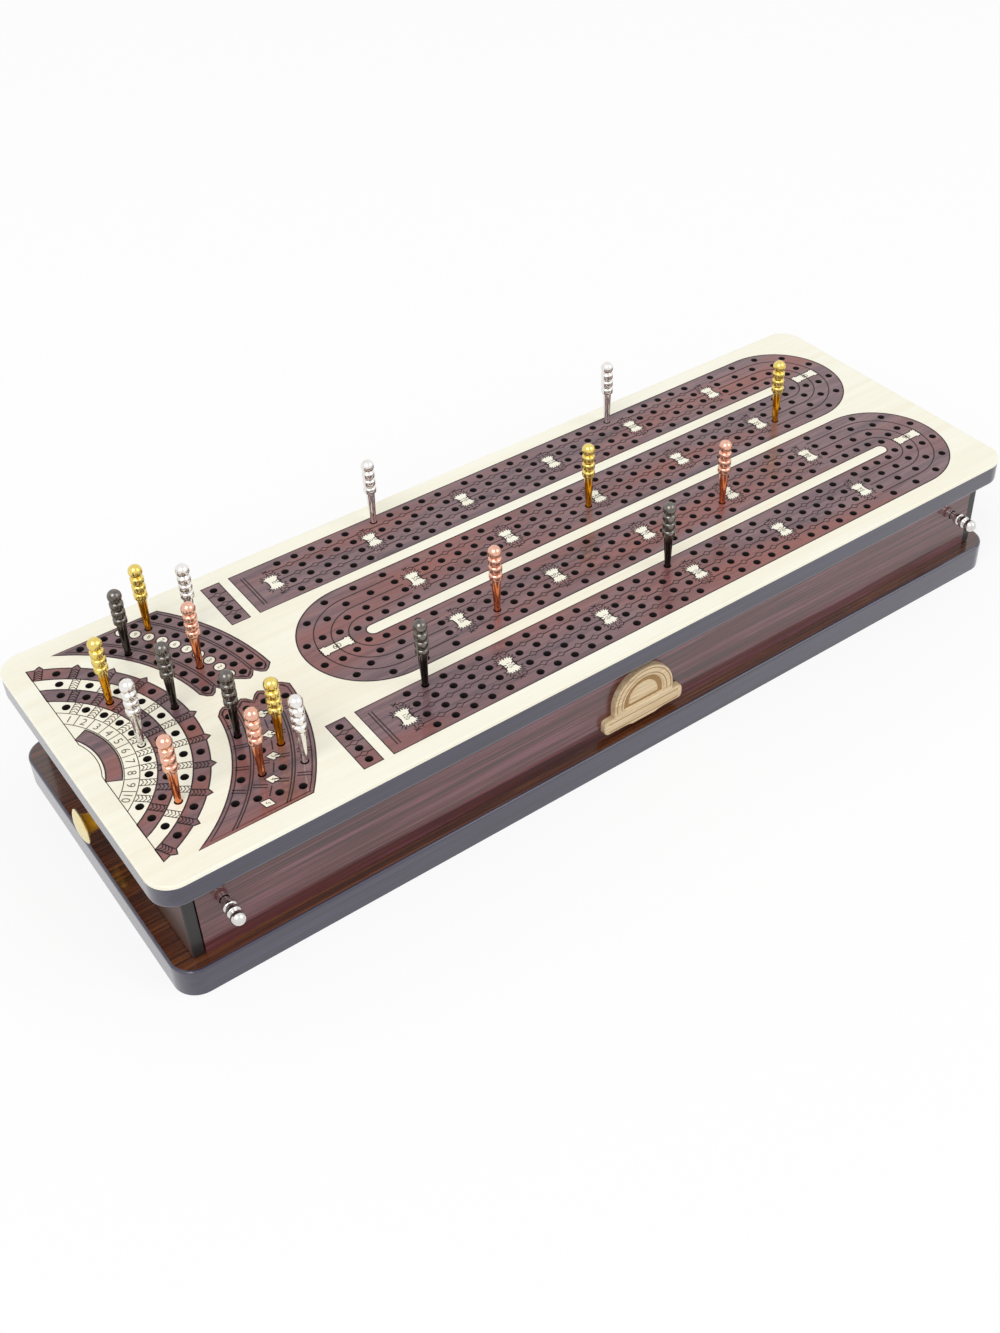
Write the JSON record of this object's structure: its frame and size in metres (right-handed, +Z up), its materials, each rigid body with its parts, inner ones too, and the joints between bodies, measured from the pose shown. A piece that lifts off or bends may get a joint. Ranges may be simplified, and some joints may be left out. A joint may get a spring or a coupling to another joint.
{
  "type": "cribbage box",
  "caption": "Oblong cribbage board on a shallow case with a drawer at each end, metal scoring pegs, brass drawer knobs and pegs that lock the drawers.",
  "frame": {"origin": "centre of the base's underside, on the table", "axes": "+X along the board towards the end with two turns, +Y to the back, away from the wall with the badge, +Z up"},
  "size_m": [0.368, 0.1334, 0.0793],
  "materials": {
    "rosewood_board": "lacquered rosewood",
    "maple": "lacquered maple",
    "rosewood_case": "gloss lacquered rosewood",
    "plain_wood": "sanded",
    "carved_wood": "carved, satin",
    "brass": "polished",
    "steel": "plain",
    "peg_silver": "polished",
    "peg_gold": "polished",
    "peg_copper": "polished copper plate",
    "peg_black": "polished black nickel"
  },
  "bodies": {
    "case": {"base_plate": "rosewood_case", "front_wall": "rosewood_case", "back_wall": "rosewood_case", "centre_partition": "plain_wood", "top_board": "rosewood_board", "face_sheet": "maple", "star_plaques": "maple", "turn_plaques": "maple", "corner_discs": "maple", "lower_diamonds": "maple", "badge_plaque": "carved_wood"},
    "drawer_left": {"drawer_left_front": "rosewood_case", "drawer_left_side_front": "plain_wood", "drawer_left_side_back": "plain_wood", "drawer_left_back": "plain_wood", "drawer_left_bottom": "plain_wood", "drawer_left_knob": "brass", "drawer_left_knob_screw": "steel"},
    "lock_peg_left": {"lock_peg_left": "peg_silver"},
    "drawer_right": {"drawer_right_front": "rosewood_case", "drawer_right_side_front": "plain_wood", "drawer_right_side_back": "plain_wood", "drawer_right_back": "plain_wood", "drawer_right_bottom": "plain_wood", "drawer_right_knob": "brass", "drawer_right_knob_screw": "steel"},
    "lock_peg_right": {"lock_peg_right": "peg_silver"},
    "peg_silver_1": {"peg_silver_1": "peg_silver"},
    "peg_silver_2": {"peg_silver_2": "peg_silver"},
    "peg_silver_3": {"peg_silver_3": "peg_silver"},
    "peg_silver_4": {"peg_silver_4": "peg_silver"},
    "peg_silver_5": {"peg_silver_5": "peg_silver"},
    "peg_gold_1": {"peg_gold_1": "peg_gold"},
    "peg_gold_2": {"peg_gold_2": "peg_gold"},
    "peg_gold_3": {"peg_gold_3": "peg_gold"},
    "peg_gold_4": {"peg_gold_4": "peg_gold"},
    "peg_gold_5": {"peg_gold_5": "peg_gold"},
    "peg_copper_1": {"peg_copper_1": "peg_copper"},
    "peg_copper_2": {"peg_copper_2": "peg_copper"},
    "peg_copper_3": {"peg_copper_3": "peg_copper"},
    "peg_copper_4": {"peg_copper_4": "peg_copper"},
    "peg_copper_5": {"peg_copper_5": "peg_copper"},
    "peg_black_1": {"peg_black_1": "peg_black"},
    "peg_black_2": {"peg_black_2": "peg_black"},
    "peg_black_3": {"peg_black_3": "peg_black"},
    "peg_black_4": {"peg_black_4": "peg_black"},
    "peg_black_5": {"peg_black_5": "peg_black"}
  },
  "joints": [
    {"name": "drawer_left_slide", "type": "slide", "parent": "case", "child": "drawer_left", "axis": [-1, 0, 0], "range_m": [0, 0.14]},
    {"name": "lock_peg_left_slide", "type": "slide", "parent": "case", "child": "lock_peg_left", "axis": [0, -1, 0], "range_m": [-0.0018, 0.02]},
    {"name": "drawer_right_slide", "type": "slide", "parent": "case", "child": "drawer_right", "axis": [1, 0, 0], "range_m": [0, 0.14]},
    {"name": "lock_peg_right_slide", "type": "slide", "parent": "case", "child": "lock_peg_right", "axis": [0, -1, 0], "range_m": [-0.0018, 0.02]},
    {"name": "peg_silver_1_lift", "type": "slide", "parent": "case", "child": "peg_silver_1", "axis": [0, 0, 1], "range_m": [0, 0.045]},
    {"name": "peg_silver_2_lift", "type": "slide", "parent": "case", "child": "peg_silver_2", "axis": [0, 0, 1], "range_m": [0, 0.045]},
    {"name": "peg_silver_3_lift", "type": "slide", "parent": "case", "child": "peg_silver_3", "axis": [0, 0, 1], "range_m": [0, 0.045]},
    {"name": "peg_silver_4_lift", "type": "slide", "parent": "case", "child": "peg_silver_4", "axis": [0, 0, 1], "range_m": [0, 0.045]},
    {"name": "peg_silver_5_lift", "type": "slide", "parent": "case", "child": "peg_silver_5", "axis": [0, 0, 1], "range_m": [0, 0.045]},
    {"name": "peg_gold_1_lift", "type": "slide", "parent": "case", "child": "peg_gold_1", "axis": [0, 0, 1], "range_m": [0, 0.045]},
    {"name": "peg_gold_2_lift", "type": "slide", "parent": "case", "child": "peg_gold_2", "axis": [0, 0, 1], "range_m": [0, 0.045]},
    {"name": "peg_gold_3_lift", "type": "slide", "parent": "case", "child": "peg_gold_3", "axis": [0, 0, 1], "range_m": [0, 0.045]},
    {"name": "peg_gold_4_lift", "type": "slide", "parent": "case", "child": "peg_gold_4", "axis": [0, 0, 1], "range_m": [0, 0.045]},
    {"name": "peg_gold_5_lift", "type": "slide", "parent": "case", "child": "peg_gold_5", "axis": [0, 0, 1], "range_m": [0, 0.045]},
    {"name": "peg_copper_1_lift", "type": "slide", "parent": "case", "child": "peg_copper_1", "axis": [0, 0, 1], "range_m": [0, 0.045]},
    {"name": "peg_copper_2_lift", "type": "slide", "parent": "case", "child": "peg_copper_2", "axis": [0, 0, 1], "range_m": [0, 0.045]},
    {"name": "peg_copper_3_lift", "type": "slide", "parent": "case", "child": "peg_copper_3", "axis": [0, 0, 1], "range_m": [0, 0.045]},
    {"name": "peg_copper_4_lift", "type": "slide", "parent": "case", "child": "peg_copper_4", "axis": [0, 0, 1], "range_m": [0, 0.045]},
    {"name": "peg_copper_5_lift", "type": "slide", "parent": "case", "child": "peg_copper_5", "axis": [0, 0, 1], "range_m": [0, 0.045]},
    {"name": "peg_black_1_lift", "type": "slide", "parent": "case", "child": "peg_black_1", "axis": [0, 0, 1], "range_m": [0, 0.045]},
    {"name": "peg_black_2_lift", "type": "slide", "parent": "case", "child": "peg_black_2", "axis": [0, 0, 1], "range_m": [0, 0.045]},
    {"name": "peg_black_3_lift", "type": "slide", "parent": "case", "child": "peg_black_3", "axis": [0, 0, 1], "range_m": [0, 0.045]},
    {"name": "peg_black_4_lift", "type": "slide", "parent": "case", "child": "peg_black_4", "axis": [0, 0, 1], "range_m": [0, 0.045]},
    {"name": "peg_black_5_lift", "type": "slide", "parent": "case", "child": "peg_black_5", "axis": [0, 0, 1], "range_m": [0, 0.045]}
  ]
}
